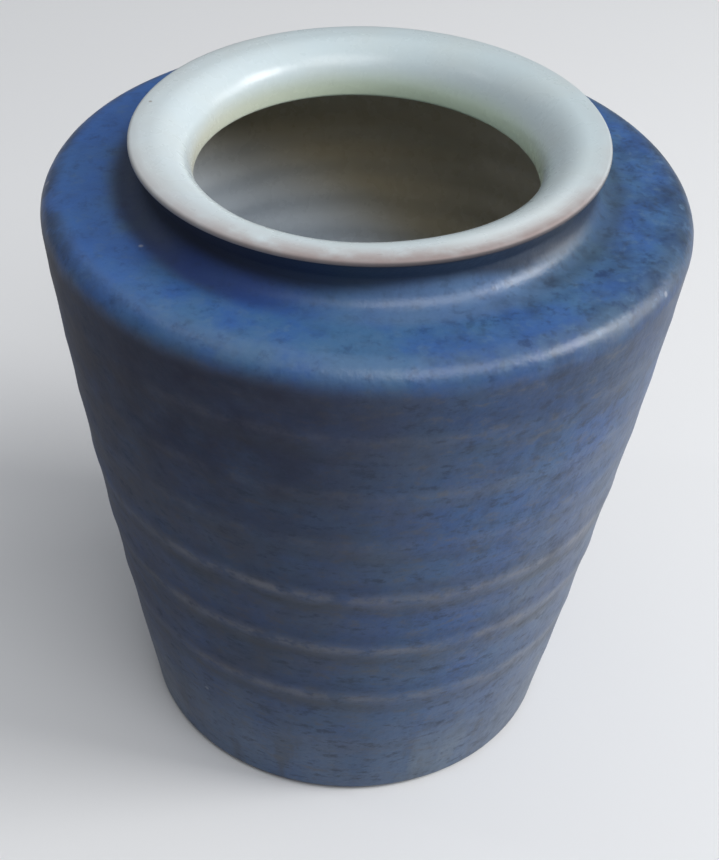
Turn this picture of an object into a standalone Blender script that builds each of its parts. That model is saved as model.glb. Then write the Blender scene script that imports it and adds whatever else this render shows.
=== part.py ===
"""A small wheel-thrown stoneware vase: a clay body with a blue glaze outside and a pale glaze inside.

Lengths are in metres. +Z is up, the vase stands on Z = 0, and Z is the axis it was turned on.
Every outline is a list of corners (radius, height, rounding) that runs from the middle of the inner floor,
up the inside, over the lip and down the outside. On that way the air is always on the left.
"""

import math
from collections import namedtuple

import bpy

# The foot, left bare
FOOT_RADIUS = 0.0302
FOOT_BEVEL = 0.0008
FOOT_RING_WIDTH = 0.0070
FOOT_RECESS = 0.0012
FLOOR_THICKNESS = 0.0055
FLOOR_CORNER_ROUNDING = 0.0080

# The wall, which widens from the foot to the shoulder
WALL_BULGE = 0.0011
WALL_THICKNESS = 0.0036

# The shoulder, measured at its corner before rounding
SHOULDER_RADIUS = 0.0425
SHOULDER_HEIGHT = 0.0869
SHOULDER_RISE = 0.0008
SHOULDER_ROUNDING = 0.0030
SHOULDER_THICKNESS = 0.0044
INNER_SHOULDER_ROUNDING = 0.0045

# The neck and the flared lip
THROAT_RADIUS = 0.0237
THROAT_LEDGE = 0.0010
THROAT_EDGE_ROUNDING = 0.0006
NECK_WALL = 0.0045
NECK_HEIGHT = 0.0071
NECK_ROUNDING = 0.0014
NECK_ROOT_ROUNDING = 0.0031
FLARE_ROUNDING = 0.0047
LIP_OVERHANG = 0.0030
LIP_RISE = 0.0002
LIP_EDGE_THICKNESS = 0.0014
LIP_EDGE_ROUNDING = 0.0005
LIP_UNDERCUT = 0.0016

# The glaze coats
GLAZE_SEAT = 0.0003
BLUE_GLAZE_THICKNESS = 0.0005
PALE_GLAZE_THICKNESS = 0.0004
BARE_FOOT_BAND = 0.0005
BARE_LIP_BAND = 0.0012
BLUE_GLAZE_SETBACK = 0.0009

# How finely round shapes are drawn
TURN_STEPS = 48
WALL_STEPS = 5
ARC_STEP = math.radians(22.5)
LEAST_ROUNDING = 0.0002
FILLET_SHARE = 0.98
AXIS_MERGE = 0.00001

Corner = namedtuple("Corner", "radius height rounding", defaults=(0.0,))

# Places that several pieces share
neck_radius = THROAT_RADIUS + NECK_WALL
lip_radius = neck_radius + LIP_OVERHANG
lip_crest = SHOULDER_HEIGHT + NECK_HEIGHT
lip_edge = lip_crest + LIP_RISE
lip_underside = lip_edge - LIP_EDGE_THICKNESS
floor_top = FOOT_RECESS + FLOOR_THICKNESS
ceiling = SHOULDER_HEIGHT - SHOULDER_THICKNESS


def wall_radius(height):
    """The clay's outer radius: a straight taper with a slight outward bulge."""
    share = height / SHOULDER_HEIGHT
    taper = FOOT_RADIUS + (SHOULDER_RADIUS - FOOT_RADIUS) * share
    return taper + WALL_BULGE * 4 * share * (1 - share)


def inner_radius(height):
    return wall_radius(height) - WALL_THICKNESS


def between(low, high):
    """Evenly spaced heights inside a span, from low to high."""
    return [low + (high - low) * step / WALL_STEPS for step in range(1, WALL_STEPS)]


def along(start, end, radius):
    """The corner at a given radius on the straight line from start to end."""
    share = (radius - start.radius) / (end.radius - start.radius)
    return Corner(radius, start.height + (end.height - start.height) * share)


def direction(start, end):
    """The unit direction from one corner to the next, and the distance."""
    across = end.radius - start.radius
    up = end.height - start.height
    length = math.hypot(across, up)
    return (across / length, up / length), length


def offset(corners, distance):
    """The same outline moved into the air by a distance, with its roundings kept concentric."""
    ways = [direction(a, b)[0] for a, b in zip(corners, corners[1:])]
    ways = [ways[0]] + ways + [ways[-1]]
    moved = []
    for corner, before, after in zip(corners, ways, ways[1:]):
        normal = (-before[1] - after[1], before[0] + after[0])
        spread = 1 + before[0] * after[0] + before[1] * after[1]
        bend = before[0] * after[1] - before[1] * after[0]
        rounding = corner.rounding
        if rounding:
            rounding += -distance if bend > 0 else distance
            rounding = max(rounding, LEAST_ROUNDING)
        moved.append(
            Corner(
                corner.radius + distance * normal[0] / spread,
                corner.height + distance * normal[1] / spread,
                rounding,
            )
        )
    return moved


def rounded(corners):
    """The outline's points, with an arc at each rounding. Arcs that share a short side shrink to fit it."""
    sides = [direction(a, b) for a, b in zip(corners, corners[1:])]
    bends = [0.0]
    for (before, _), (after, _) in zip(sides, sides[1:]):
        cross = before[0] * after[1] - before[1] * after[0]
        dot = before[0] * after[0] + before[1] * after[1]
        bends.append(math.atan2(cross, dot))
    bends.append(0.0)
    reach = [c.rounding * math.tan(abs(bend) / 2) for c, bend in zip(corners, bends)]
    fits = [
        min(1.0, FILLET_SHARE * length / max(reach[i] + reach[i + 1], LEAST_ROUNDING))
        for i, (_, length) in enumerate(sides)
    ]
    points = [(corners[0].radius, corners[0].height)]
    for i in range(1, len(corners) - 1):
        corner = corners[i]
        fit = min(fits[i - 1], fits[i])
        radius = corner.rounding * fit
        if radius == 0 or bends[i] == 0:
            points.append((corner.radius, corner.height))
            continue
        side = math.copysign(1, bends[i])
        way = sides[i - 1][0]
        start_radius = corner.radius - way[0] * reach[i] * fit
        start_height = corner.height - way[1] * reach[i] * fit
        centre = (start_radius - side * way[1] * radius, start_height + side * way[0] * radius)
        spoke = (start_radius - centre[0], start_height - centre[1])
        steps = max(2, round(abs(bends[i]) / ARC_STEP))
        for step in range(steps + 1):
            turn = bends[i] * step / steps
            points.append(
                (
                    centre[0] + spoke[0] * math.cos(turn) - spoke[1] * math.sin(turn),
                    centre[1] + spoke[0] * math.sin(turn) + spoke[1] * math.cos(turn),
                )
            )
    points.append((corners[-1].radius, corners[-1].height))
    return points


def inside_corners():
    """Middle of the floor, inner wall, underside of the shoulder, throat and flare."""
    wall = [Corner(inner_radius(h), h) for h in between(floor_top, ceiling)]
    return [
        Corner(0.0, floor_top),
        Corner(inner_radius(floor_top), floor_top, FLOOR_CORNER_ROUNDING),
        *wall,
        Corner(inner_radius(ceiling), ceiling, INNER_SHOULDER_ROUNDING),
        Corner(THROAT_RADIUS, SHOULDER_HEIGHT + THROAT_LEDGE, THROAT_EDGE_ROUNDING),
        Corner(THROAT_RADIUS, lip_crest, FLARE_ROUNDING),
    ]


def lip_corners():
    """The thin outer edge of the lip, upper and lower."""
    return [
        Corner(lip_radius, lip_edge, LIP_EDGE_ROUNDING),
        Corner(lip_radius, lip_underside, LIP_EDGE_ROUNDING),
    ]


def outside_corners():
    """Neck, shoulder and outer wall, down to where the foot's bare band begins."""
    band_top = FOOT_BEVEL + BARE_FOOT_BAND
    heights = reversed(between(band_top, SHOULDER_HEIGHT))
    wall = [Corner(wall_radius(h), h) for h in heights]
    return [
        Corner(neck_radius, lip_underside - LIP_UNDERCUT, NECK_ROUNDING),
        Corner(neck_radius, SHOULDER_HEIGHT + SHOULDER_RISE, NECK_ROOT_ROUNDING),
        Corner(SHOULDER_RADIUS, SHOULDER_HEIGHT, SHOULDER_ROUNDING),
        *wall,
        Corner(wall_radius(band_top), band_top),
    ]


def foot_corners():
    """The bevelled foot ring and the shallow recess inside it."""
    ring_outside = FOOT_RADIUS - FOOT_BEVEL
    ring_inside = ring_outside - FOOT_RING_WIDTH
    return [
        Corner(wall_radius(FOOT_BEVEL), FOOT_BEVEL),
        Corner(ring_outside, 0.0),
        Corner(ring_inside, 0.0),
        Corner(ring_inside - FOOT_RECESS, FOOT_RECESS),
        Corner(0.0, FOOT_RECESS),
    ]


def clay_outline():
    return rounded(inside_corners() + lip_corners() + outside_corners() + foot_corners())


def coat_outline(corners, thickness):
    """A coat over some corners: its face away from the clay, then back along the face next to the clay."""
    face = rounded(offset(corners, GLAZE_SEAT + thickness))
    back = rounded(offset(corners, GLAZE_SEAT))
    return face + back[::-1]


def pale_glaze_outline():
    inside = inside_corners()
    last = along(inside[-1], lip_corners()[0], lip_radius - BARE_LIP_BAND)
    return coat_outline(inside + [last], PALE_GLAZE_THICKNESS)


def blue_glaze_outline():
    outside = outside_corners()
    first = along(lip_corners()[1], outside[0], lip_radius - BLUE_GLAZE_SETBACK)
    return coat_outline([first] + outside, BLUE_GLAZE_THICKNESS)


def ceramic(name, colour, roughness):
    material = bpy.data.materials.new(name)
    material.use_nodes = True
    shader = material.node_tree.nodes["Principled BSDF"]
    shader.inputs["Base Color"].default_value = (*colour, 1.0)
    shader.inputs["Roughness"].default_value = roughness
    shader.inputs["Metallic"].default_value = 0.0
    return material


def turned(name, outline, closed, material, parent, collection):
    """An outline at +X, turned about the Z axis."""
    points = [(radius, 0.0, height) for radius, height in outline]
    edges = [(i, i + 1) for i in range(len(points) - 1)]
    if closed:
        edges.append((len(points) - 1, 0))
    mesh = bpy.data.meshes.new(name)
    mesh.from_pydata(points, edges, [])
    mesh.materials.append(material)
    piece = bpy.data.objects.new(name, mesh)
    piece.parent = parent
    collection.objects.link(piece)
    screw = piece.modifiers.new("Turn", "SCREW")
    screw.axis = "Z"
    screw.angle = 2 * math.pi
    screw.steps = TURN_STEPS
    screw.render_steps = TURN_STEPS
    screw.use_merge_vertices = True
    screw.merge_threshold = AXIS_MERGE
    screw.use_smooth_shade = True
    return piece


def build():
    for old in list(bpy.data.objects):
        bpy.data.objects.remove(old)
    vase = bpy.data.collections.new("ceramic_vase")
    bpy.context.scene.collection.children.link(vase)
    axis = bpy.data.objects.new("turning_axis", None)
    vase.objects.link(axis)
    clay = ceramic("bare_stoneware", (0.42, 0.33, 0.28), 0.85)
    blue = ceramic("satin_blue_glaze", (0.055, 0.115, 0.27), 0.42)
    pale = ceramic("pale_celadon_glaze", (0.56, 0.63, 0.66), 0.22)
    turned("clay_body", clay_outline(), False, clay, axis, vase)
    turned("blue_glaze", blue_glaze_outline(), True, blue, axis, vase)
    turned("pale_glaze", pale_glaze_outline(), False, pale, axis, vase)


build()
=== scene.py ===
# %% [markdown]
# # A small blue stoneware vase
# The vase was thrown on a wheel: a foot, a wall that widens to a broad shoulder, a short neck and
# a thin flared lip. Three things make it up. The fired clay shows only at the foot, a satin blue
# glaze covers the outside, and a smooth pale glaze covers the lip and the inside.
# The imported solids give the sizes. This lesson makes one finer body for each of the three.

import math

import bpy
from mathutils import Matrix, Vector, noise


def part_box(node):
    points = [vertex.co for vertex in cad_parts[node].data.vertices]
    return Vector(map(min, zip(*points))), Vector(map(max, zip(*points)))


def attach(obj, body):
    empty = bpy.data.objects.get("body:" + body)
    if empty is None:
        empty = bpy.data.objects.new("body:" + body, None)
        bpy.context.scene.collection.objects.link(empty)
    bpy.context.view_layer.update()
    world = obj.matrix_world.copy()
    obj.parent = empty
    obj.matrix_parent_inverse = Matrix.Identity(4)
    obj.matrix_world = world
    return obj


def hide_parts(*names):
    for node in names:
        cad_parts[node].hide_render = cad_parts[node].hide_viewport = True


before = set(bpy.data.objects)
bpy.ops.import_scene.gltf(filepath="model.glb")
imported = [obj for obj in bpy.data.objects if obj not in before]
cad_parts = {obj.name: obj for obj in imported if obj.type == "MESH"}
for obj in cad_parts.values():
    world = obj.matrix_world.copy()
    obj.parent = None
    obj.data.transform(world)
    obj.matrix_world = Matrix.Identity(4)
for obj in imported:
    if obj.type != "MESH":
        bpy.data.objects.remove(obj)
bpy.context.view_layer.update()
print("solids:", sorted(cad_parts))

# %% [markdown]
# The outlines below are in millimetres, as a potter would note them. Two sizes are read from the
# solids, so that the finer bodies stay in the same box: the shoulder's reach and the clay's top.
# The lip's height is printed beside them, because nothing may stand higher.

# %% Read the sizes
MM = 0.001
_, blue_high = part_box("blue_glaze")
_, clay_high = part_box("clay_body")
_, pale_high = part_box("pale_glaze")
shoulder_reach = blue_high.x / MM
clay_top = clay_high.z / MM
lip_top = pale_high.z / MM
print(f"shoulder {shoulder_reach:.2f} mm from the axis, lip {lip_top:.2f} mm high")

# %% [markdown]
# ## Camera
# The photograph looks down into the mouth from close by, so the lip hides the neck in front and
# the wall narrows strongly towards the foot. A camera at the same place gives the same narrowing.
# Its turn is written as pitch, yaw and roll, and made into a matrix from three directions.

# %% Place the camera
CAMERA_PLACE = Vector((0.0, -0.1846, 0.1945))
CAMERA_PITCH = 0.681
CAMERA_YAW = 0.002
CAMERA_ROLL = 0.05
CAMERA_LENS = 66.98

forward = Vector((
    math.sin(CAMERA_YAW) * math.cos(CAMERA_PITCH),
    math.cos(CAMERA_YAW) * math.cos(CAMERA_PITCH),
    -math.sin(CAMERA_PITCH),
))
level_right = forward.cross(Vector((0.0, 0.0, 1.0))).normalized()
level_up = level_right.cross(forward)
camera_right = level_right * math.cos(CAMERA_ROLL) + level_up * math.sin(CAMERA_ROLL)
camera_up = level_up * math.cos(CAMERA_ROLL) - level_right * math.sin(CAMERA_ROLL)

bpy.ops.object.select_all(action="DESELECT")
bpy.ops.object.camera_add(location=CAMERA_PLACE)
camera = bpy.context.object
turned = Matrix((camera_right, camera_up, -forward)).transposed().to_4x4()
camera.matrix_world = Matrix.Translation(CAMERA_PLACE) @ turned
camera.data.lens = CAMERA_LENS
bpy.context.scene.camera = camera
print("camera", [round(value, 4) for value in CAMERA_PLACE])

# %% [markdown]
# ## Floor and light
# A plain pale floor, a soft window at the right, a wide soft box overhead, weaker lamps around, and
# a dim even surround. The floor's reflection greys the wall of a satin glaze, so the floor matters
# for the look and not only for the shadow. It is paler to the camera and to gloss than to the light
# that it throws back, because a wide white floor would light the wall from below.

# %% Lay the floor
FLOOR_SIZE = 3.0
FLOOR_ROUGHNESS = 0.9
FLOOR_SEEN = (0.82, 0.83, 0.85, 1.0)
FLOOR_GLOSS = (0.58, 0.59, 0.61, 1.0)
FLOOR_BOUNCE = (0.32, 0.32, 0.33, 1.0)
# A Mix node has sockets of the same name for numbers and colours, so these are counted.
MIX_SHARE = 0
MIX_UNDER = 6
MIX_OVER = 7
MIX_RESULT = 2

bpy.ops.object.select_all(action="DESELECT")
bpy.ops.mesh.primitive_plane_add(size=FLOOR_SIZE)
floor = bpy.context.object
floor.name = "floor"
floor_finish = bpy.data.materials.new("pale_floor")
floor_finish.use_nodes = True
floor_tree = floor_finish.node_tree
floor_shader = floor_tree.nodes["Principled BSDF"]
floor_shader.inputs["Roughness"].default_value = FLOOR_ROUGHNESS
floor_rays = floor_tree.nodes.new("ShaderNodeLightPath")


def mix_for_ray(ray, over):
    """A mix towards one colour for one kind of ray."""
    mix = floor_tree.nodes.new("ShaderNodeMix")
    mix.data_type = "RGBA"
    mix.inputs[MIX_OVER].default_value = over
    floor_tree.links.new(floor_rays.outputs[ray], mix.inputs[MIX_SHARE])
    return mix


gloss_mix = mix_for_ray("Is Glossy Ray", FLOOR_GLOSS)
gloss_mix.inputs[MIX_UNDER].default_value = FLOOR_BOUNCE
seen_mix = mix_for_ray("Is Camera Ray", FLOOR_SEEN)
floor_tree.links.new(gloss_mix.outputs[MIX_RESULT], seen_mix.inputs[MIX_UNDER])
floor_tree.links.new(seen_mix.outputs[MIX_RESULT], floor_shader.inputs["Base Color"])
floor.data.materials.append(floor_finish)
print("floor", floor.dimensions[:2])

# %% Hang the lamps
LAMP_TARGET = Vector((0.0, 0.0, 0.06))
WARM_WHITE = (1.0, 0.99, 0.97)
WHITE = (1.0, 1.0, 1.0)
SKY_WHITE = (0.96, 0.98, 1.0)


def hang_lamp(name, place, size, power, colour):
    """A square soft lamp that faces the vase."""
    bpy.ops.object.select_all(action="DESELECT")
    bpy.ops.object.light_add(type="AREA", location=place)
    lamp = bpy.context.object
    lamp.name = name
    lamp.rotation_euler = (LAMP_TARGET - Vector(place)).to_track_quat("-Z", "Y").to_euler()
    lamp.data.size = size
    lamp.data.energy = power
    lamp.data.color = colour
    print(name, power, "W")


hang_lamp("window", (0.660, -0.105, 0.516), size=0.30, power=3.6, colour=WARM_WHITE)
hang_lamp("front_top", (0.271, -0.434, 0.759), size=0.50, power=2.5, colour=WHITE)
hang_lamp("overhead", (0.0, 0.05, 0.95), size=1.60, power=2.7, colour=SKY_WHITE)
hang_lamp("left_soft", (-0.80, 0.43, 0.65), size=1.00, power=0.4, colour=SKY_WHITE)
hang_lamp("right_low", (0.90, 0.12, 0.24), size=0.50, power=2.7, colour=WHITE)
hang_lamp("left_glint", (-0.42, -0.02, 0.70), size=0.03, power=0.11, colour=WHITE)

# %% [markdown]
# The surround lights the vase only dimly, so that the lamps shape it, and is pale to the camera.
# A Light Path node tells the two apart, so one world does for both.

# %% Light the surround
SURROUND_SEEN = 0.80
SURROUND_LIGHT = 0.19
SURROUND_TINT = (0.95, 0.97, 1.0, 1.0)

surround = bpy.data.worlds.new("surround")
surround.use_nodes = True
surround_tree = surround.node_tree
surround_glow = surround_tree.nodes["Background"]
surround_glow.inputs["Color"].default_value = SURROUND_TINT
surround_rays = surround_tree.nodes.new("ShaderNodeLightPath")
surround_level = surround_tree.nodes.new("ShaderNodeMapRange")
surround_level.inputs["To Min"].default_value = SURROUND_LIGHT
surround_level.inputs["To Max"].default_value = SURROUND_SEEN
surround_tree.links.new(surround_rays.outputs["Is Camera Ray"], surround_level.inputs["Value"])
surround_tree.links.new(surround_level.outputs["Result"], surround_glow.inputs["Strength"])
bpy.context.scene.world = surround
bpy.context.scene.view_settings.view_transform = "Standard"
print("surround", SURROUND_LIGHT, "as light and", SURROUND_SEEN, "as seen")

# %% [markdown]
# ## A potter's tools
# A thrown pot is one cross-section turned about an axis. By hand that is a single point, extruded
# from corner to corner. Each corner is then rounded with a vertex bevel, long edges are split until
# the surface can carry fine marks, and Spin turns the line into a body. A Screw modifier would turn
# it too, but Spin leaves a plain mesh whose points can then be pressed one by one.

# %% Draw a cross-section
def on_outline(radius, height):
    """A place on the cross-section, from millimetres."""
    return Vector((radius, 0.0, height)) * MM


def extrude_through(places):
    """Extrudes the selected point from place to place."""
    for here, there in zip(places, places[1:]):
        bpy.ops.mesh.extrude_region_move(TRANSFORM_OT_translate={"value": there - here})


def draw_outline(name, corners):
    """One point, extruded through corners of radius, height and rounding in millimetres."""
    places = [on_outline(radius, height) for radius, height, _ in corners]
    bpy.ops.object.select_all(action="DESELECT")
    bpy.ops.mesh.primitive_plane_add(size=MM, location=places[0])
    piece = bpy.context.object
    piece.name = name
    bpy.ops.object.transform_apply(location=True, rotation=False, scale=False)
    bpy.ops.object.mode_set(mode="EDIT")
    bpy.ops.mesh.select_mode(type="VERT")
    bpy.ops.mesh.select_all(action="SELECT")
    bpy.ops.mesh.merge(type="CENTER")
    extrude_through(places)
    bpy.ops.object.mode_set(mode="OBJECT")
    return piece


# %% Round its corners
ARC_STEP = 0.6
ARC_LEAST_CUTS = 3


def select_nearest(piece, place):
    """Selects only the point that lies nearest to a place, and returns it."""
    bpy.ops.object.mode_set(mode="EDIT")
    bpy.ops.mesh.select_mode(type="VERT")
    bpy.ops.mesh.select_all(action="DESELECT")
    bpy.ops.object.mode_set(mode="OBJECT")
    nearest = min(piece.data.vertices, key=lambda point: (point.co - place).length)
    nearest.select = True
    return nearest


def round_corners(piece, corners):
    """Bevels each corner so far along both edges that an arc of its rounding fits."""
    places = [on_outline(radius, height) for radius, height, _ in corners]
    roundings = [rounding * MM for _, _, rounding in corners]
    for before, here, after, rounding in zip(places, places[1:], places[2:], roundings[1:]):
        if rounding == 0.0:
            continue
        turn = (here - before).angle(after - here)
        reach = rounding * math.tan(turn / 2)
        cuts = max(ARC_LEAST_CUTS, round(rounding * turn / (ARC_STEP * MM)))
        select_nearest(piece, here)
        bpy.ops.object.mode_set(mode="EDIT")
        bpy.ops.mesh.bevel(offset=reach, segments=cuts, affect="VERTICES", clamp_overlap=False)
        bpy.ops.object.mode_set(mode="OBJECT")


# %% Split its long edges
def split_long_edges(piece, longest):
    """Halves every edge that is longer than this, again and again."""
    while True:
        bpy.ops.object.mode_set(mode="EDIT")
        bpy.ops.mesh.select_mode(type="EDGE")
        bpy.ops.mesh.select_all(action="DESELECT")
        bpy.ops.object.mode_set(mode="OBJECT")
        points = piece.data.vertices
        found = 0
        for edge in piece.data.edges:
            first, last = edge.vertices
            edge.select = (points[first].co - points[last].co).length > longest * MM
            found += edge.select
        if found == 0:
            break
        bpy.ops.object.mode_set(mode="EDIT")
        bpy.ops.mesh.subdivide(number_cuts=1)
        bpy.ops.object.mode_set(mode="OBJECT")


# %% Swell the wall and draw the hidden back
WALL_SWELL = 1.1
WALL_FOOT = 1.0
WALL_TOP = 87.0


def swell_wall(piece):
    """Gives the straight wall a slight belly, most at half height, none at foot and shoulder."""
    for point in piece.data.vertices:
        share = (point.co.z / MM - WALL_FOOT) / (WALL_TOP - WALL_FOOT)
        share = min(1.0, max(0.0, share))
        point.co.x *= 1.0 + WALL_SWELL * 4.0 * share * (1.0 - share) / shoulder_reach


def draw_back(piece, corners):
    """Goes on from the last point of the face through the hidden corners, which stay coarse."""
    places = [on_outline(radius, height) for radius, height in corners]
    places[0] = select_nearest(piece, places[0]).co.copy()
    bpy.ops.object.mode_set(mode="EDIT")
    extrude_through(places)
    bpy.ops.object.mode_set(mode="OBJECT")


# %% Turn the body
JOIN_DISTANCE = 0.002


def turn_on_wheel(piece, steps):
    """Spins the outline once round the axis and joins the seam and the points on the axis."""
    bpy.ops.object.mode_set(mode="EDIT")
    bpy.ops.mesh.select_mode(type="VERT")
    bpy.ops.mesh.select_all(action="SELECT")
    bpy.ops.mesh.spin(steps=steps, angle=math.tau, center=(0.0, 0.0, 0.0), axis=(0.0, 0.0, 1.0))
    bpy.ops.mesh.select_all(action="SELECT")
    bpy.ops.mesh.remove_doubles(threshold=JOIN_DISTANCE * MM)
    bpy.ops.mesh.normals_make_consistent(inside=False)
    bpy.ops.object.mode_set(mode="OBJECT")
    bpy.ops.object.shade_smooth()


def throw(name, face, back=(), *, longest, steps):
    """All of it: a body from the corners of its face, and of its hidden back where it has one."""
    piece = draw_outline(name, face)
    round_corners(piece, face)
    split_long_edges(piece, longest)
    swell_wall(piece)
    if back:
        draw_back(piece, back)
    turn_on_wheel(piece, steps)
    print(name, len(piece.data.vertices), "points,", len(piece.data.polygons), "faces")
    return piece


# %% [markdown]
# ## Clay
# The clay body carries the other two and is under glaze nearly everywhere. It shows only as the
# foot: a flat ring with a shallow recess, in which the turning tool left four soft grooves.
# Its outline starts in the middle of the recess and ends in the middle of the floor inside.
# Every corner is a distance from the axis, a height and a rounding. A cylinder could be scaled ring
# by ring instead, but an outline gives each corner the rounding that a finger or a tool leaves.

# %% Throw the clay body
RECESS_HEIGHT = 1.2
GROOVE_PLACES = (3.0, 7.6, 12.4, 17.0)
GROOVE_HALF = 1.1
GROOVE_DEEP = 0.25
GROOVE_ROUNDING = 0.6

clay_outline = [(0.0, RECESS_HEIGHT, 0.0)]
for middle in GROOVE_PLACES:
    clay_outline += [
        (middle - GROOVE_HALF, RECESS_HEIGHT, GROOVE_ROUNDING),
        (middle, RECESS_HEIGHT + GROOVE_DEEP, GROOVE_ROUNDING),
        (middle + GROOVE_HALF, RECESS_HEIGHT, GROOVE_ROUNDING),
    ]
clay_outline += [
    (22.4, RECESS_HEIGHT, 0.7),
    (22.4, 0.0, 0.5),
    (29.4, 0.0, 0.3),
    (29.8, 0.8, 0.3),
    (42.5, 86.9, 3.0),
    (29.1, 87.1, 3.0),
    (29.0, 91.4, 1.2),
    (30.4, 93.7, 0.2),
    (30.5, clay_top, 0.2),
    (23.7, 94.0, 4.7),
    (23.7, 87.9, 0.6),
    (38.2, 82.5, 4.5),
    (27.5, 6.7, 8.0),
    (0.0, 6.7, 0.0),
]
clay = throw("stoneware_body", clay_outline, longest=2.4, steps=160)

# %% [markdown]
# ## Blue glaze
# The glaze is a thin skin. Its outline runs down the outer face, from under the lip over neck,
# shoulder and wall to a rolled edge above the foot, and back up inside the clay. Its upper edge
# is tucked under the pale glaze and its lower edge sinks into the clay, so no gap shows.
# Solidify on a copy of the clay could make a skin too, but not with edges of their own shape.

# %% Pour the blue glaze
blue_face = [
    (30.9, 94.15, 0.0),
    (29.75, 91.6, 1.1),
    (29.9, 87.9, 2.7),
    (43.38, 87.65, 3.4),
    (31.1, 0.7, 0.5),
    (30.0, 0.6, 0.0),
]
blue_back = [
    (30.0, 0.6),
    (41.0, 78.0),
    (40.4, 85.2),
    (38.6, 86.6),
    (31.4, 86.6),
    (28.7, 88.6),
    (28.6, 91.8),
    (30.9, 94.15),
]
blue = throw("blue_glaze_coat", blue_face, blue_back, longest=0.7, steps=300)

# %% [markdown]
# The potter's fingers left one long spiral in the wall. Seen from one side it is a row of ridges,
# about 11 mm apart, that slope a little. Between them the wall is hollowed by a fifth of a
# millimetre. Glaze runs off a ridge, browns just below it and gathers above the next one, so the
# finish needs to know where the ridges are: each point keeps its distance from the nearest crest
# in millimetres, and a few shares from 0 to 1.
# The points are moved one by one in code, as a sculptor would by hand. A Displace modifier could
# hollow the wall as well, but then the finish wouldn't know where the crests are.

# %% Measure a place and fade a value
def measure(place):
    """Distance from the axis and height in mm, and turns from the front, positive to the right."""
    radius = math.hypot(place.x, place.y) / MM
    height = place.z / MM
    turned_by = math.atan2(place.x, -place.y) / math.tau
    return radius, height, turned_by


def read_table(value, inputs, outputs):
    """Straight-line reading between listed values."""
    for low, high, first, last in zip(inputs, inputs[1:], outputs, outputs[1:]):
        if value <= high:
            share = max(0.0, (value - low) / (high - low))
            return first + (last - first) * share
    return outputs[-1]


def fade(value, start, end):
    """0 before start, 1 after end, and smooth between."""
    share = min(1.0, max(0.0, (value - start) / (end - start)))
    return share * share * (3.0 - 2.0 * share)


def band(value, start, full, weaker, end):
    """0 before start, 1 from full to weaker, and 0 again after end."""
    return fade(value, start, full) * (1.0 - fade(value, weaker, end))


# %% Follow the spiral
RIDGE_HEIGHTS = (2.5, 14.0, 25.4, 37.0, 48.2, 58.9, 67.8, 77.4, 88.0)
RIDGE_STRENGTHS = (0.0, 0.2, 0.9, 1.0, 1.0, 0.45, 0.4, 0.42, 0.0)
RIDGE_TURNS = tuple(range(len(RIDGE_HEIGHTS)))
RIDGE_WAVER = 0.5
WAVER_SIZE = 14.0
WAVER_SQUASH = 0.5
SPIRAL_LEAN = 0.5
HOLLOW_SHAPE = 0.8
RIDGE_SIGHT = 6.0
RIDGE_UPPER = 1.7
POOL_ABOVE = (0.4, 1.8, 2.0, 4.6)
BROWN_BELOW = (0.6, 2.0, 2.4, 4.6)


def ridge_at(place):
    """Hollow of the wall, strength and distance of the ridge, and the shares above and below it."""
    _, height, turned_by = measure(place)
    turned_by -= SPIRAL_LEAN * math.sin(math.tau * turned_by) / math.tau
    squashed = Vector((place.x, place.y, place.z * WAVER_SQUASH))
    height += RIDGE_WAVER * noise.noise(squashed / (WAVER_SIZE * MM))
    turn = read_table(height, RIDGE_HEIGHTS, RIDGE_TURNS) + turned_by
    crest = math.floor(turn + 0.5)
    away = height - read_table(crest - turned_by, RIDGE_TURNS, RIDGE_HEIGHTS)
    strength = read_table(crest - turned_by, RIDGE_TURNS, RIDGE_STRENGTHS)
    share = turn - math.floor(turn)
    deepest = read_table(turn - turned_by, RIDGE_TURNS, RIDGE_STRENGTHS)
    hollow = (4.0 * share * (1.0 - share)) ** HOLLOW_SHAPE * deepest
    line = min(RIDGE_SIGHT, away * RIDGE_UPPER if away > 0.0 else -away)
    pool = band(away, *POOL_ABOVE)
    brown = band(-away, *BROWN_BELOW)
    return hollow, strength, line, pool, brown


# %% Keep numbers on the points
def keep_marks(piece, marks):
    """Stores named numbers, one for each point, which the finish reads by name."""
    for name, values in marks.items():
        stored_numbers = piece.data.attributes.new(name, "FLOAT", "POINT")
        stored_numbers.data.foreach_set("value", values)


# %% Press the ridges
RIDGE_DEPTH = 0.22
UNEVEN_DEPTH = 0.03
UNEVEN_SIZE = 7.0
UNEVEN_FALLOFF = 0.8
UNEVEN_STEP = 2.0
UNEVEN_LAYERS = 2
UNEVEN_TOP = (84.0, 87.0)
RIPPLE_DEPTH = 0.04
RIPPLE_SIZE = 26.0
PRESSED_HEIGHTS = (0.5, 4.0, 91.0, 92.8)
WALL_END = (83.2, 86.6)
WEAK_RIDGE_TURNS = (-0.46, -0.34, -0.17, -0.06)
WEAK_RIDGE_LOSS = 0.5

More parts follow.
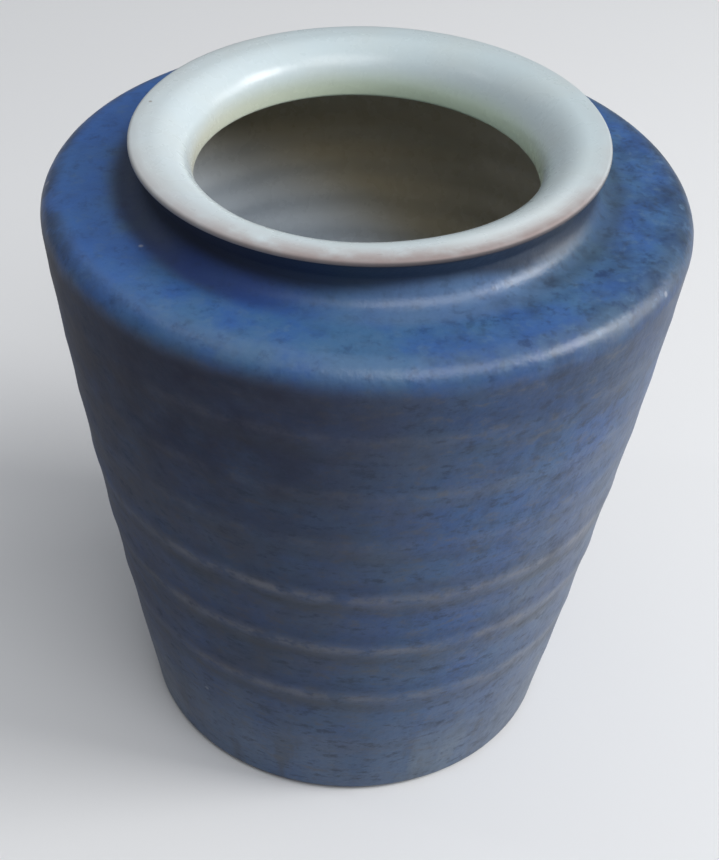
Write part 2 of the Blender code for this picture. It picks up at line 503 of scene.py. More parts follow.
blue_places = [point.co.copy() for point in blue.data.vertices]
ridge_marks = {name: [] for name in ("ridge", "line", "pool", "brown", "wall")}
for point, place in zip(blue.data.vertices, blue_places):
    _, height, turned_by = measure(place)
    wall = 1.0 - fade(height, *WALL_END)
    hollow, strength, line, pool, brown = ridge_at(place)
    outward = Vector((place.x, place.y, 0.0)).normalized()
    unevenness = (UNEVEN_FALLOFF, UNEVEN_STEP, UNEVEN_LAYERS)
    uneven = noise.fractal(place / (UNEVEN_SIZE * MM), *unevenness)
    ripple = noise.noise(place / (RIPPLE_SIZE * MM))
    sink = RIDGE_DEPTH * hollow * wall
    sink += UNEVEN_DEPTH * (1.0 + uneven) + RIPPLE_DEPTH * (1.0 + ripple)
    point.co -= outward * sink * MM * band(height, *PRESSED_HEIGHTS)
    point.co.z += UNEVEN_DEPTH * uneven * MM * fade(height, *UNEVEN_TOP)
    strength *= 1.0 - WEAK_RIDGE_LOSS * band(turned_by, *WEAK_RIDGE_TURNS)
    ridge_marks["ridge"].append(strength * wall)
    ridge_marks["line"].append(line)
    ridge_marks["pool"].append(pool * strength * wall)
    ridge_marks["brown"].append(brown * strength * wall)
    ridge_marks["wall"].append(wall)
keep_marks(blue, ridge_marks)
print("ridges at", RIDGE_HEIGHTS[1:-1], "mm in front")

# %% [markdown]
# More shares say where the glaze changes on the shoulder: paler on the edge in front and at the
# right, partly where the glaze thins and partly as painted sheen, and darker on the edge elsewhere.
# Each starts, is full, weakens and ends somewhere. Turns are counted from the front, positive to
# the right, so a half is the back. Every share is 0 or steady there, so no seam shows. They could
# be painted by hand, but numbers are easier to correct.

# %% Mark the shoulder
EDGE_RADII = (38.5, 41.2)
EDGE_HEIGHTS = (84.2, 86.2)
EDGE_TURNS = (-0.16, -0.03, 0.34, 0.46)
EDGE_DARK_RADII = (39.5, 42.0)
EDGE_DARK_HEIGHTS = (76.0, 84.0)
FRONT_TURNS = (-0.20, -0.08, 0.08, 0.18)
LEFT_TOP_RADII = (33.0, 36.5)
LEFT_TOP_TURNS = (-0.46, -0.34, -0.18, -0.06)
TOP_RADII = (33.6, 36.0)
TOP_HEIGHTS = (85.5, 87.2)

shoulder_marks = {name: [] for name in ("edge", "edge_dark", "left_top", "top")}
for place in blue_places:
    radius, height, turned_by = measure(place)
    edge = fade(radius, *EDGE_RADII) * fade(height, *EDGE_HEIGHTS)
    shoulder_marks["edge"].append(edge * band(turned_by, *EDGE_TURNS))
    edge_dark = fade(radius, *EDGE_DARK_RADII) * fade(height, *EDGE_DARK_HEIGHTS)
    shoulder_marks["edge_dark"].append(edge_dark * (1.0 - band(turned_by, *FRONT_TURNS)))
    left_top = fade(radius, *LEFT_TOP_RADII) * band(turned_by, *LEFT_TOP_TURNS)
    shoulder_marks["left_top"].append(left_top)
    shoulder_marks["top"].append(fade(radius, *TOP_RADII) * fade(height, *TOP_HEIGHTS))
keep_marks(blue, shoulder_marks)
print("shoulder marks:", ", ".join(shoulder_marks))

# %% [markdown]
# The neck under the lip has painted shade. The fold at its foot changes from side to side, so it
# has four shares, one after the other from left to right: painted shade in brown, then in deep
# blue, painted light at the front right, and grey at the right.

# %% Mark the neck and its fold
NECK_SHADE_HEIGHTS = (88.5, 90.4)
NECK_RAISED = 1.4
NECK_RAISED_TURNS = (-0.05, 0.05, 0.06, 0.11)
FOLD_RADII = (32.4, 35.2)
FOLD_HEIGHTS = (86.0, 87.0)
FOLD_LIT_TOP = (90.6, 92.0)
FOLD_TURNS = {
    "lee_shade": (-0.40, -0.26, -0.13, -0.06),
    "lee_shade_blue": (-0.16, -0.11, -0.08, -0.01),
    "fold_lit": (-0.06, 0.03, 0.09, 0.16),
    "fold_right": (0.09, 0.16, 0.30, 0.42),
}

neck_marks = {name: [] for name in ("neck", *FOLD_TURNS)}
for place in blue_places:
    radius, height, turned_by = measure(place)
    raised = NECK_RAISED * band(turned_by, *NECK_RAISED_TURNS)
    neck_marks["neck"].append(fade(height - raised, *NECK_SHADE_HEIGHTS))
    fold = (1.0 - fade(radius, *FOLD_RADII)) * fade(height, *FOLD_HEIGHTS)
    for name, turns in FOLD_TURNS.items():
        share = fold * band(turned_by, *turns)
        if name == "fold_lit":
            share *= 1.0 - fade(height, *FOLD_LIT_TOP)
        neck_marks[name].append(share)
keep_marks(blue, neck_marks)
print("neck marks:", ", ".join(neck_marks))

# %% [markdown]
# On the wall the glaze is paler low down, partly where it lies thick and partly as painted
# reflection of the floor. At the left it has painted shade, brown and dark, and at the far left
# a painted grey sheen. Under the shoulder it has painted shade, and low at the right a painted
# grey sheen.

# %% Mark the wall
LOW_HEIGHTS = (5.0, 34.0)
SIDE_TURNS = (-0.30, -0.13, -0.055, 0.07)
SIDE_LOW = (0.0, 34.0)
SIDE_HIGH = (46.0, 76.0)
RIGHT_TURNS = (0.0, 0.12, 0.34, 0.46)
FAR_RIGHT_TURNS = (0.05, 0.15, 0.34, 0.46)
RIGHT_LOW_END = (50.0, 70.0)
RIGHT_LOW_LOSS = 0.9
FAR_SIDE_TURNS = (-0.40, -0.30, -0.18, -0.08)
UNDER_SHADE_HEIGHTS = (66.0, 82.0)
UNDER_SHADE_LEAST = 0.5

wall_names = ("low", "side", "side_high", "right", "right_low", "far_side", "under")
wall_marks = {name: [] for name in wall_names}
for place in blue_places:
    _, height, turned_by = measure(place)
    wall = 1.0 - fade(height, *WALL_END)
    wall_marks["low"].append(1.0 - fade(height, *LOW_HEIGHTS))
    side = band(turned_by, *SIDE_TURNS) * wall
    wall_marks["side"].append(side * fade(height, *SIDE_LOW))
    wall_marks["side_high"].append(side * fade(height, *SIDE_HIGH))
    right = band(turned_by, *RIGHT_TURNS)
    wall_marks["right"].append(right)
    # Share of the painted grey sheen low at the right.
    right_low = band(turned_by, *FAR_RIGHT_TURNS) * wall
    right_low *= 1.0 - RIGHT_LOW_LOSS * fade(height, *RIGHT_LOW_END)
    wall_marks["right_low"].append(right_low)
    wall_marks["far_side"].append(band(turned_by, *FAR_SIDE_TURNS) * wall)
    # Share of the painted shade under the shoulder.
    shaded = UNDER_SHADE_LEAST + (1.0 - UNDER_SHADE_LEAST) * right
    wall_marks["under"].append(fade(height, *UNDER_SHADE_HEIGHTS) * wall * shaded)
keep_marks(blue, wall_marks)
print("wall marks:", ", ".join(wall_marks))

# %% [markdown]
# The mouth isn't quite round. It is an oval, half a millimetre narrower at the front right and
# wider at the front left, where the flare was pushed out a little more. Clay, blue and pale glaze
# are pressed alike, so one helper serves them all.

# %% Press the mouth oval
MOUTH_OVAL = 0.48
MOUTH_HEIGHTS = (88.5, 92.5)
FLARE_PUSH = 0.5
FLARE_PUSH_TURNS = (-0.17, -0.08, -0.04, 0.06)
FLARE_PUSH_END = (26.0, 30.0)


def press_oval(piece):
    """Moves the points of neck, flare and lip in and out, twice round the axis."""
    for point in piece.data.vertices:
        radius, height, turned_by = measure(point.co)
        outward = Vector((point.co.x, point.co.y, 0.0)).normalized()
        pushed = FLARE_PUSH * band(turned_by, *FLARE_PUSH_TURNS)
        pushed *= 1.0 - fade(radius, *FLARE_PUSH_END)
        pushed -= MOUTH_OVAL * math.sin(2.0 * math.tau * turned_by)
        point.co += outward * pushed * fade(height, *MOUTH_HEIGHTS) * MM


press_oval(clay)
press_oval(blue)
print("mouth", MOUTH_OVAL, "mm out of round")

# %% [markdown]
# ## Pale glaze
# The pale glaze starts in the middle of the floor, climbs the inner wall, runs under the shoulder
# to the narrow throat, rolls over the flare and ends on the lip's edge, where it is thin.
# It has an outline of its own, as the blue has, because its thickness changes on the way.

# %% Pour the pale glaze
pale_face = [
    (0.0, 7.4, 0.0),
    (26.8, 7.4, 8.0),
    (37.5, 81.9, 4.2),
    (22.8, 87.85, 0.5),
    (22.8, 94.86, 5.5),
    (31.25, 94.72, 0.45),
    (31.1, 94.05, 0.0),
]
pale_back = [
    (31.1, 94.05),
    (30.6, 93.8),
    (27.0, 93.0),
    (24.6, 91.0),
    (24.6, 88.6),
    (36.4, 84.4),
    (39.0, 80.0),
    (30.0, 10.0),
    (24.0, 6.4),
    (0.0, 6.4),
]
pale = throw("pale_glaze_coat", pale_face, pale_back, longest=1.2, steps=240)

# %% [markdown]
# The wall inside keeps the finger marks too, closer together than outside. They are a wave along a
# spiral, hollowed outwards, so the marks don't narrow the pot. The throat lies a little left of the
# axis, as can happen when a pot is opened by hand.

# %% Press the finger marks inside
INSIDE_PITCH = 5.6
INSIDE_DEPTH = 0.45
INSIDE_START = 0.5
INSIDE_WAVER = 0.15
INSIDE_WAVER_SIZE = 12.0
INSIDE_HEIGHTS = (12.0, 20.0, 74.0, 80.0)
THROAT_SHIFT = 0.3
THROAT_SHIFT_HEIGHTS = (80.0, 86.0, 90.5, 94.5)

pale_places = [point.co.copy() for point in pale.data.vertices]
for point, place in zip(pale.data.vertices, pale_places):
    _, height, turned_by = measure(place)
    waver = noise.noise(place / (INSIDE_WAVER_SIZE * MM))
    turn = height / INSIDE_PITCH + turned_by + INSIDE_WAVER * waver + INSIDE_START
    hollow = 0.5 + 0.5 * math.cos(math.tau * turn)
    outward = Vector((place.x, place.y, 0.0)).normalized()
    point.co += outward * INSIDE_DEPTH * hollow * band(height, *INSIDE_HEIGHTS) * MM
    point.co.x -= THROAT_SHIFT * MM * band(height, *THROAT_SHIFT_HEIGHTS)
print("finger marks every", INSIDE_PITCH, "mm inside")

# %% [markdown]
# On the lip the glaze is thinnest at the front, a little to the right, and there the clay's tan
# shows through it. On the outer side, just below the edge, it has painted shade. On the flare at
# the front right it has painted light.

# %% Mark the lip
LIP_HEIGHTS = (90.0, 92.0)
LIP_RIGHT_TURNS = (0.02, 0.10, 0.34, 0.46)
LIP_START = 27.1
LIP_START_RIGHT = 0.9
LIP_FULL = 30.7
LIP_FULL_RIGHT = 0.3
LIP_THIN_TURN = 0.44
LIP_THIN_POWER = 2.2
LIP_THIN_LEAST = 0.06
LIP_THIN_END = (0.165, 0.215)
LIP_THIN_LOSS = 0.7
LIP_EDGE_RADII = (30.2, 31.0)
LIT_END = (0.13, 0.22)
LIT_RADII = (26.0, 28.5)
LIP_SIDE_RADII = (30.9, 31.1)
LIP_SIDE_TOP = 94.72
LIP_SIDE_DROP = (0.08, 0.32)
LIP_SIDE_TURNS = (-0.06, 0.06, 0.30, 0.42)
LIP_SIDE_LEAST = 0.35

lip_marks = {name: [] for name in ("lit", "lip", "lip_edge", "lip_side")}
for place in pale_places:
    radius, height, turned_by = measure(place)
    upper = fade(height, *LIP_HEIGHTS)
    right = band(turned_by, *LIP_RIGHT_TURNS)
    front = 0.5 - 0.5 * math.cos(math.tau * (turned_by + LIP_THIN_TURN))
    front = front ** LIP_THIN_POWER * (1.0 - LIP_THIN_LOSS * fade(turned_by, *LIP_THIN_END))
    thinness = LIP_THIN_LEAST + (1.0 - LIP_THIN_LEAST) * front
    lip_start = LIP_START + LIP_START_RIGHT * right
    lip_full = LIP_FULL + LIP_FULL_RIGHT * right
    lip_marks["lip"].append(fade(radius, lip_start, lip_full) * upper * thinness)
    lip_marks["lip_edge"].append(fade(radius, *LIP_EDGE_RADII) * upper * thinness)
    lit = right * (1.0 - fade(turned_by, *LIT_END))
    lip_marks["lit"].append(lit * fade(radius, *LIT_RADII) * upper)
    shaded = LIP_SIDE_LEAST + (1.0 - LIP_SIDE_LEAST) * band(turned_by, *LIP_SIDE_TURNS)
    lip_side = fade(radius, *LIP_SIDE_RADII) * fade(LIP_SIDE_TOP - height, *LIP_SIDE_DROP)
    lip_marks["lip_side"].append(lip_side * shaded)
keep_marks(pale, lip_marks)
print("lip marks:", ", ".join(lip_marks))

# %% [markdown]
# Glaze gathers at the throat. Below it the inside has painted shade in olive, and further down
# painted light in grey, where light through the mouth falls on the wall. The lit grey climbs higher
# at the left than at the right, so its upper limit leans with the turn. The left share lets flare
# and throat take painted light at the left and painted shade at the right.

# %% Mark the throat and the inside
THROAT_HEIGHTS = (86.0, 88.0, 88.5, 92.5)
INSIDE_TOP = (86.2, 87.8)
LEFT_SHIFT = 0.14
INSIDE_LIT_REACH = 49.0
INSIDE_LIT_LEAN = 46.0
INSIDE_LIT_MIDDLE = 0.49
INSIDE_LIT_SOFT = 18.0
INSIDE_LIT_SHARE = 0.9


def left_share(turned_by):
    """1 at the left, 0 at the right."""
    return 0.5 - 0.5 * math.sin(math.tau * turned_by)


inside_marks = {name: [] for name in ("throat", "inside", "left", "inside_lit")}
for place in pale_places:
    _, height, turned_by = measure(place)
    inside_marks["throat"].append(band(height, *THROAT_HEIGHTS))
    inside_marks["inside"].append(1.0 - fade(height, *INSIDE_TOP))
    inside_marks["left"].append(left_share(turned_by - LEFT_SHIFT))
    reach = INSIDE_LIT_REACH + INSIDE_LIT_LEAN * (left_share(turned_by) - INSIDE_LIT_MIDDLE)
    inside_marks["inside_lit"].append(INSIDE_LIT_SHARE * (1.0 - fade(height, reach, reach + INSIDE_LIT_SOFT)))
keep_marks(pale, inside_marks)
press_oval(pale)
print("inside marks:", ", ".join(inside_marks))

# %% [markdown]
# ## Finishes
# A finish is a small network of nodes. Short helpers keep the cells readable: one puts a node down
# and sets or links its sockets, one lays a colour over another where some shares say so, and the
# others make clouds, specks and stretched patterns.
# All patterns read Object coordinates in metres, so a scale of 400 gives marks of about 2.5 mm.

# %% Start a finish
def new_finish(name, piece):
    """An empty material on a piece, with its node tree and its shader."""
    material = bpy.data.materials.new(name)
    material.use_nodes = True
    piece.data.materials.clear()
    piece.data.materials.append(material)
    tree = material.node_tree
    return tree, tree.nodes["Principled BSDF"]


def put(tree, kind, sockets=None, **settings):
    """Puts a node down; a socket is given a value, or another node's output to link from."""
    node = tree.nodes.new(kind)
    for name, value in settings.items():
        setattr(node, name, value)
    for name, value in (sockets or {}).items():
        if isinstance(value, bpy.types.NodeSocket):
            tree.links.new(value, node.inputs[name])
        else:
            node.inputs[name].default_value = value
    return node


def stored(tree, name):
    """A number that was kept on the points."""
    return put(tree, "ShaderNodeAttribute", attribute_name=name).outputs["Fac"]


# %% Lay colour over colour
def times(tree, first, second):
    """The product of two shares."""
    return put(tree, "ShaderNodeMath", {0: first, 1: second}, operation="MULTIPLY").outputs[0]


def mixed(tree, share, under, over):
    """One colour over another; share is 0 to 1."""
    sockets = {MIX_SHARE: share}
    for index, colour in ((MIX_UNDER, under), (MIX_OVER, over)):
        sockets[index] = (*colour, 1.0) if isinstance(colour, tuple) else colour
    return put(tree, "ShaderNodeMix", sockets, data_type="RGBA").outputs[MIX_RESULT]


def layer(tree, under, over, *shares, amount):
    """Lays a colour over another by an amount, where all the shares allow it."""
    share = shares[0]
    for more in shares[1:]:
        share = times(tree, share, more)
    return mixed(tree, times(tree, share, amount), under, over)


# %% Make clouds and specks
SPECK_CORE = 0.45


def blotches(tree, where, scale, detail=3.0, roughness=0.55):
    """Soft cloudy noise."""
    sockets = {"Vector": where, "Scale": scale, "Detail": detail, "Roughness": roughness}
    return put(tree, "ShaderNodeTexNoise", sockets).outputs["Fac"]


def stretch(tree, value, low, high):
    """Spreads a range of values over 0 to 1, smoothly."""
    sockets = {"Value": value, "From Min": low, "From Max": high}
    smooth = put(tree, "ShaderNodeMapRange", sockets, interpolation_type="SMOOTHSTEP")
    return smooth.outputs["Result"]


def clouds(tree, where, scale, low, high, detail=4.0, roughness=0.6):
    """Patches of cloudy noise; the two limits set how large and how sharp they are."""
    return stretch(tree, blotches(tree, where, scale, detail, roughness), low, high)


def specks(tree, where, scale, size, share):
    """Round dots, in only some of the cells of a pattern."""
    cells = put(tree, "ShaderNodeTexVoronoi", {"Vector": where, "Scale": scale})
    dot = stretch(tree, cells.outputs["Distance"], size, size * SPECK_CORE)
    chosen = put(tree, "ShaderNodeSeparateColor", {"Color": cells.outputs["Color"]})
    few = put(tree, "ShaderNodeMath", {0: chosen.outputs[0], 1: share}, operation="LESS_THAN")
    return times(tree, dot, few.outputs[0])


def squeezed(tree, where, upright):
    """Coordinates for a pattern that is squeezed upright, or drawn out if upright is below 1."""
    sockets = {"Vector": where, "Scale": (1.0, 1.0, upright)}
    return put(tree, "ShaderNodeMapping", sockets).outputs["Vector"]


# %% Set ranges and the surface
def ranged(tree, value, low, high=1.0):
    """Brings a value from 0 to 1 into another range."""
    sockets = {"Value": value, "To Min": low, "To Max": high}
    return put(tree, "ShaderNodeMapRange", sockets).outputs["Result"]


def plus(tree, value, share, amount):
    """Adds an amount to a value where a share says so."""
    sockets = {0: share, 1: amount, 2: value}
    return put(tree, "ShaderNodeMath", sockets, operation="MULTIPLY_ADD").outputs[0]


def roughen(tree, shader, pattern, strength, distance):
    """Lets a fine pattern tilt the surface."""
    sockets = {"Height": pattern, "Strength": strength, "Distance": distance}
    bump = put(tree, "ShaderNodeBump", sockets)
    tree.links.new(bump.outputs["Normal"], shader.inputs["Normal"])


# %% [markdown]
# ### Satin blue
# The blue is cloudy: cobalt and teal-grey patches, soft dark spots and a few pale specks. Low on
# the wall it is paler, partly where the glaze lies thick and partly as painted reflection of the
# floor. In the fold under the neck at the front right it has painted light, and high at the left
# it has painted shade, dark and brownish. The layers go on from below to above.

# %% Cloud the blue
COBALT = (0.036, 0.110, 0.338)
TEAL_GREY = (0.057, 0.144, 0.288)
PALE_TEAL = (0.090, 0.172, 0.300)
DEEP_COBALT = (0.014, 0.040, 0.120)
EDGE_GREY = (0.042, 0.070, 0.108)
EDGE_DARK = (0.024, 0.038, 0.056)
LEFT_COBALT = (0.042, 0.142, 0.440)

tree, shader = new_finish("satin_blue_glaze", blue)
where = put(tree, "ShaderNodeTexCoord").outputs["Object"]
large_clouds = clouds(tree, where, scale=95.0, low=0.36, high=0.66)
colour = mixed(tree, large_clouds, COBALT, TEAL_GREY)
small_clouds = clouds(tree, where, scale=310.0, low=0.50, high=0.74, detail=3.0, roughness=0.55)
colour = layer(tree, colour, PALE_TEAL, small_clouds, amount=0.3)
edge = stored(tree, "edge")
edge_break = clouds(tree, where, scale=230.0, low=0.30, high=0.60, roughness=0.65)
# Paler edge in front and at the right: partly thin glaze, partly painted sheen.
colour = layer(tree, colour, PALE_TEAL, edge, edge_break, amount=0.6)
right = stored(tree, "right")
colour = layer(tree, colour, EDGE_GREY, edge, right, amount=0.5)
deep_patches = clouds(tree, where, scale=140.0, low=0.44, high=0.62)
colour = layer(tree, colour, DEEP_COBALT, stored(tree, "top"), right, deep_patches, amount=0.45)
colour = layer(tree, colour, LEFT_COBALT, stored(tree, "left_top"), amount=0.65)
dark_break = clouds(tree, where, scale=260.0, low=0.30, high=0.60, roughness=0.65)
colour = layer(tree, colour, EDGE_DARK, stored(tree, "edge_dark"), dark_break, amount=0.65)
print("blue clouds", len(tree.nodes), "nodes")

# %% Mottle it and paint shade and light on neck and fold
FOLD_LIT_BLUE = (0.100, 0.175, 0.315)
FOLD_GREY = (0.050, 0.088, 0.125)
LEE_SHADE_BROWN = (0.018, 0.019, 0.040)
LEE_SHADE_BLUE = (0.016, 0.043, 0.190)
NECK_SHADE = (0.020, 0.028, 0.046)

mottle = blotches(tree, where, scale=330.0, detail=5.0, roughness=0.7)
lively = ranged(tree, right, low=0.6)
dark_mottle = stretch(tree, mottle, low=0.47, high=0.30)
colour = layer(tree, colour, DEEP_COBALT, dark_mottle, lively, amount=0.75)
pale_mottle = stretch(tree, mottle, low=0.54, high=0.70)
colour = layer(tree, colour, PALE_TEAL, pale_mottle, lively, amount=0.65)
# Painted light in the fold at the front right, where it faces the light.
colour = layer(tree, colour, FOLD_LIT_BLUE, stored(tree, "fold_lit"), amount=0.75)
colour = layer(tree, colour, FOLD_GREY, stored(tree, "fold_right"), amount=0.7)
# Painted shade in the fold at the left and front left, in the lip's shadow.
colour = layer(tree, colour, LEE_SHADE_BROWN, stored(tree, "lee_shade"), amount=0.75)
colour = layer(tree, colour, LEE_SHADE_BLUE, stored(tree, "lee_shade_blue"), amount=0.75)
# Painted shade on the neck under the lip.
colour = layer(tree, colour, NECK_SHADE, stored(tree, "neck"), amount=0.9)
print("with the mottle and the fold", len(tree.nodes), "nodes")

# %% [markdown]
# On the wall a grey wash and upright runs lie over the clouds. Patterns are drawn out sideways
# where the wheel smeared the glaze, and upright where it ran.

# %% Wash the wall
WALL_BLUE = (0.050, 0.120, 0.285)
WALL_DARK = (0.012, 0.028, 0.068)
WALL_GREY = (0.120, 0.128, 0.145)
OLIVE_GREY = (0.056, 0.064, 0.072)
LOW_GREY = (0.118, 0.192, 0.330)
RUN_PALE = (0.190, 0.250, 0.320)

wall = stored(tree, "wall")
smeared = squeezed(tree, where, upright=2.2)
colour = layer(tree, colour, WALL_BLUE, wall, amount=0.5)
wash = clouds(tree, smeared, scale=60.0, low=0.40, high=0.68)
colour = layer(tree, colour, WALL_GREY, wall, wash, amount=0.35)
# Painted shade under the shoulder, strongest at the right.
colour = layer(tree, colour, WALL_DARK, stored(tree, "under"), amount=0.6)
runs = squeezed(tree, where, upright=0.12)
low = stored(tree, "low")
low_break = clouds(tree, runs, scale=150.0, low=0.22, high=0.62, detail=3.0, roughness=0.55)
# Paler low down: partly thick glaze, partly painted reflection of the floor.
colour = layer(tree, colour, LOW_GREY, low, low_break, amount=0.8)
pale_runs = clouds(tree, runs, scale=90.0, low=0.52, high=0.64)
colour = layer(tree, colour, RUN_PALE, pale_runs, low, low, amount=0.55)
dark_runs = clouds(tree, runs, scale=135.0, low=0.46, high=0.34)
colour = layer(tree, colour, OLIVE_GREY, dark_runs, low, low, amount=0.5)
streaks = squeezed(tree, where, upright=9.0)
streak_share = clouds(tree, streaks, scale=40.0, low=0.52, high=0.80, roughness=0.65)
colour = layer(tree, colour, OLIVE_GREY, wall, streak_share, amount=0.3)
print("with the wash and the runs", len(tree.nodes), "nodes")

# %% Grain it and paint shade and sheen on its sides
SIDE_SHADE_BROWN = (0.062, 0.055, 0.058)
SIDE_SHADE_DARK = (0.008, 0.013, 0.045)
FAR_SIDE_SHEEN = (0.100, 0.100, 0.115)
RIGHT_SHEEN_GREY = (0.160, 0.185, 0.235)

grain = blotches(tree, smeared, scale=320.0, detail=5.0, roughness=0.72)
pale_grain = stretch(tree, grain, low=0.52, high=0.67)
colour = layer(tree, colour, WALL_GREY, wall, pale_grain, amount=0.5)
side_cloud = blotches(tree, where, scale=160.0, detail=4.0, roughness=0.6)
side_range = {"Value": side_cloud, "From Min": 0.3, "From Max": 0.6, "To Min": 0.55}
side_break = put(tree, "ShaderNodeMapRange", side_range).outputs["Result"]
# Painted shade on the left side, brown on the wall and darker higher up.
colour = layer(tree, colour, SIDE_SHADE_BROWN, stored(tree, "side"), side_break, amount=0.62)
colour = layer(tree, colour, SIDE_SHADE_DARK, stored(tree, "side_high"), side_break, amount=0.85)
# Painted grey sheen at the far left, where the wall mirrors the floor.
colour = layer(tree, colour, FAR_SIDE_SHEEN, stored(tree, "far_side"), side_break, amount=0.5)
# Painted grey sheen low at the right, where the wall mirrors the lit floor.
colour = layer(tree, colour, RIGHT_SHEEN_GREY, stored(tree, "right_low"), amount=0.5)
dark_grain = stretch(tree, grain, low=0.48, high=0.32)
colour = layer(tree, colour, WALL_DARK, wall, dark_grain, amount=0.65)
print("with the grain and the sides", len(tree.nodes), "nodes")

# %% [markdown]
# The ridge lines come from the kept distance. Fine noise is added to it before it is cut off, so a
# line is ragged and of uneven width, and coarser noise breaks it in places. Each line is laid
# twice: a broad faint halo and a narrow stronger core. Olive lies below it and deep blue above.

# %% Draw the ridge lines
RIDGE_TAN = (0.235, 0.245, 0.280)
HALO_RAGGED = 3.2
HALO_WIDTH = 3.2
HALO_FULL = 0.3
CORE_RAGGED = 2.6
CORE_WIDTH = 1.5
CORE_FULL = 0.1

ragged = blotches(tree, where, scale=520.0, detail=4.0, roughness=0.65)


def line_share(width, full, amount):
    """1 on the crest, 0 beyond the width; noise moves the distance to and fro by an amount."""
    moved = plus(tree, stored(tree, "line"), ragged, amount)
    sockets = {0: moved, 1: -0.5 * amount}
    distance = put(tree, "ShaderNodeMath", sockets, operation="ADD").outputs[0]
    return stretch(tree, distance, width, full)


colour = layer(tree, colour, DEEP_COBALT, stored(tree, "pool"), amount=0.3)
brown_break = clouds(tree, smeared, scale=110.0, low=0.25, high=0.60)
colour = layer(tree, colour, OLIVE_GREY, stored(tree, "brown"), brown_break, amount=0.55)
squared = {0: stored(tree, "ridge"), 1: 2.0}
strong = put(tree, "ShaderNodeMath", squared, operation="POWER").outputs[0]
halo_break = clouds(tree, where, scale=130.0, low=0.28, high=0.64, roughness=0.65)
halo = line_share(HALO_WIDTH, HALO_FULL, HALO_RAGGED)
colour = layer(tree, colour, RIDGE_TAN, halo, halo_break, strong, amount=0.34)
core_break = clouds(tree, where, scale=260.0, low=0.40, high=0.60, roughness=0.7)
core = line_share(CORE_WIDTH, CORE_FULL, CORE_RAGGED)
colour = layer(tree, colour, RIDGE_TAN, core, core_break, strong, amount=0.62)
print("with the ridge lines", len(tree.nodes), "nodes")

# %% [markdown]
# Iron in the glaze gives soft dark smudges and fine specks, more of them at the right. A few pale
# dots lie between them. Noise makes the smudges, and a Voronoi pattern makes round dots, because
# each of its cells has a middle.

# %% Speckle it
IRON_NAVY = (0.018, 0.030, 0.056)
PALE_SPECK = (0.36, 0.38, 0.44)

spotty = ranged(tree, right, low=0.4)
smudges = clouds(tree, where, scale=210.0, low=0.46, high=0.80)
colour = layer(tree, colour, IRON_NAVY, smudges, spotty, amount=0.55)
spots = specks(tree, where, scale=190.0, size=0.30, share=0.40)
colour = layer(tree, colour, IRON_NAVY, spots, spotty, amount=0.2)
speckle = clouds(tree, where, scale=700.0, low=0.52, high=0.72, detail=2.0)
colour = layer(tree, colour, IRON_NAVY, speckle, spotty, amount=0.4)
pale_dots = specks(tree, where, scale=140.0, size=0.07, share=0.22)
colour = layer(tree, colour, PALE_SPECK, pale_dots, amount=0.5)
tree.links.new(colour, shader.inputs["Base Color"])
print("with the specks", len(tree.nodes), "nodes")

# %% [markdown]
# A satin glaze is neither glossy nor dull, and it changes a little from place to place. At the
# left, where shade is painted, it is drier. A fine bump breaks up what is mirrored in it.

# %% Give it a satin surface
DRIER_PLACES = {"side": 0.35, "lee_shade": 0.3, "lee_shade_blue": 0.3}

satin = ranged(tree, blotches(tree, where, scale=240.0), low=0.27, high=0.43)
for name, more in DRIER_PLACES.items():
    satin = plus(tree, satin, stored(tree, name), more)
tree.links.new(satin, shader.inputs["Roughness"])
peel = blotches(tree, where, scale=900.0, detail=2.0)
roughen(tree, shader, peel, strength=0.3, distance=0.0002)
print("blue finish", len(tree.nodes), "nodes")

# %% [markdown]
# ### Pale celadon
# Inside and on the lip the glaze is smoother. It is nearly white where it lies on the flare, with
# painted shade at the right, where the flare faces away from the light. It is greener where it
# gathers at the throat, with painted light there at the left, and it thins to a warm pink-tan
# along the lip. Below the throat it has painted shade in olive, and painted light in grey further
# down. A few brown iron specks float in it.

# %% Mix the pale glaze
CELADON = (0.625, 0.710, 0.752)
CELADON_SHADED = (0.545, 0.645, 0.685)
CELADON_LIT = (0.80, 0.86, 0.88)
CELADON_DEEP = (0.60, 0.61, 0.54)
THROAT_SHADED_GREEN = (0.61, 0.75, 0.55)
THROAT_LIT_WARM = (0.81, 0.775, 0.655)
LIP_TAN = (0.36, 0.275, 0.260)
LIP_EDGE = (0.26, 0.205, 0.20)
LIP_SHADE = (0.035, 0.036, 0.046)
INSIDE_SHADED_OLIVE = (0.375, 0.325, 0.225)
INSIDE_LIT_GREY = (0.67, 0.76, 0.87)
IRON_BROWN = (0.16, 0.10, 0.06)

tree, shader = new_finish("pale_celadon_glaze", pale)
where = put(tree, "ShaderNodeTexCoord").outputs["Object"]
left = stored(tree, "left")
# A darker copy of the celadon at the right, as painted shade where the flare faces away.
colour = mixed(tree, left, CELADON_SHADED, CELADON)
colour = layer(tree, colour, CELADON_LIT, stored(tree, "lit"), amount=0.5)
haze = clouds(tree, where, scale=130.0, low=0.35, high=0.75, detail=3.0, roughness=0.55)
colour = layer(tree, colour, CELADON_DEEP, haze, amount=0.15)
# Glaze gathers at the throat; it has painted light at the left and painted shade at the right.
throat_colour = mixed(tree, left, THROAT_SHADED_GREEN, THROAT_LIT_WARM)
colour = layer(tree, colour, throat_colour, stored(tree, "throat"), amount=0.85)
lip_break = clouds(tree, where, scale=210.0, low=0.20, high=0.60)
colour = layer(tree, colour, LIP_TAN, stored(tree, "lip"), lip_break, amount=0.9)
lip_edge = stored(tree, "lip_edge")
colour = layer(tree, colour, LIP_EDGE, lip_edge, amount=0.85)
colour = layer(tree, colour, LIP_SHADE, stored(tree, "lip_side"), amount=0.85)
# Painted shade in olive high inside, painted light in grey lower down, reaching higher at the left.
inside_colour = mixed(tree, stored(tree, "inside_lit"), INSIDE_SHADED_OLIVE, INSIDE_LIT_GREY)
colour = mixed(tree, stored(tree, "inside"), colour, inside_colour)
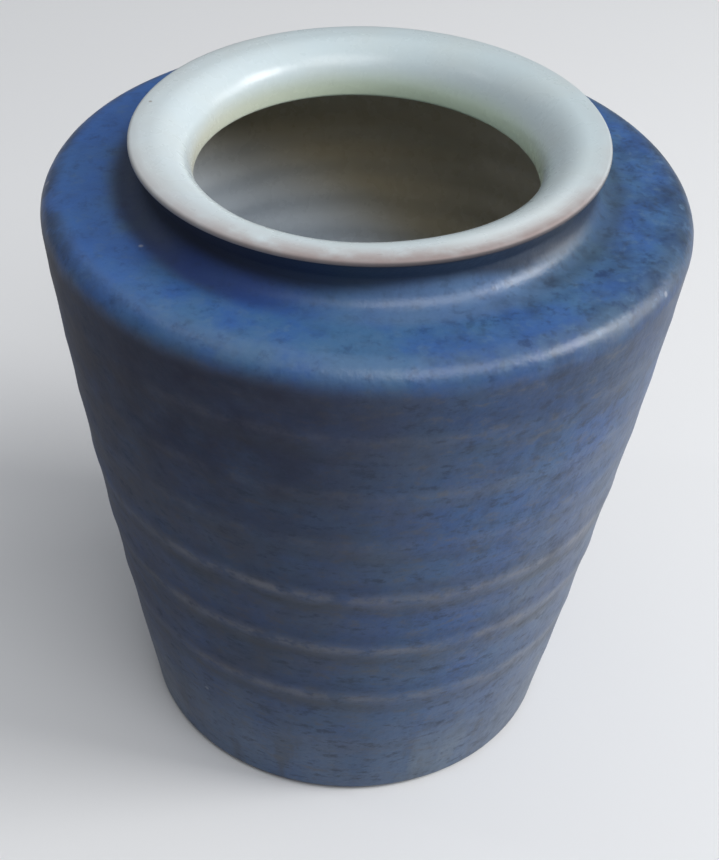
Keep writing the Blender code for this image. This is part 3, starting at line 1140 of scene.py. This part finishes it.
iron = specks(tree, where, scale=205.0, size=0.075, share=0.10)
colour = layer(tree, colour, IRON_BROWN, iron, amount=0.6)
tree.links.new(colour, shader.inputs["Base Color"])
print("pale colours", len(tree.nodes), "nodes")

# %% [markdown]
# The pale glaze is glossier than the blue and has less bump. Only the thin edge of the lip is dry.

# %% Give it a glossy surface
LIP_DRIER = 0.4

glassy = ranged(tree, blotches(tree, where, scale=300.0), low=0.22, high=0.33)
glassy = plus(tree, glassy, lip_edge, LIP_DRIER)
tree.links.new(glassy, shader.inputs["Roughness"])
peel = blotches(tree, where, scale=700.0, detail=2.0)
roughen(tree, shader, peel, strength=0.2, distance=0.0001)
print("pale finish", len(tree.nodes), "nodes")

# %% [markdown]
# ### Bare stoneware
# Fired stoneware is a matt buff with a grain of fine sand and dark iron specks. The grooves of the
# turning tool are already in the shape.

# %% Mix the bare clay
BUFF = (0.42, 0.33, 0.28)
BUFF_DARK = (0.30, 0.22, 0.18)
CLAY_IRON = (0.10, 0.07, 0.05)
CLAY_ROUGHNESS = 0.86

tree, shader = new_finish("bare_stoneware", clay)
where = put(tree, "ShaderNodeTexCoord").outputs["Object"]
scorch = clouds(tree, where, scale=160.0, low=0.35, high=0.70)
colour = mixed(tree, scorch, BUFF, BUFF_DARK)
iron = specks(tree, where, scale=420.0, size=0.22, share=0.22)
colour = layer(tree, colour, CLAY_IRON, iron, amount=0.7)
tree.links.new(colour, shader.inputs["Base Color"])
shader.inputs["Roughness"].default_value = CLAY_ROUGHNESS
roughen(tree, shader, blotches(tree, where, scale=2200.0), strength=0.6, distance=0.0002)
print("clay finish", len(tree.nodes), "nodes")

# %% [markdown]
# ## Into the frame
# Each finer body rides on the vase's one body and stands for its solid, which is hidden.

# %% Put the bodies in the frame
for piece, node, slot in (
    (clay, "clay_body", "bare_stoneware"),
    (blue, "blue_glaze", "satin_blue_glaze"),
    (pale, "pale_glaze", "pale_celadon_glaze"),
):
    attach(piece, "root")
    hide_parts(node)
    print(piece.name, "stands for", node)
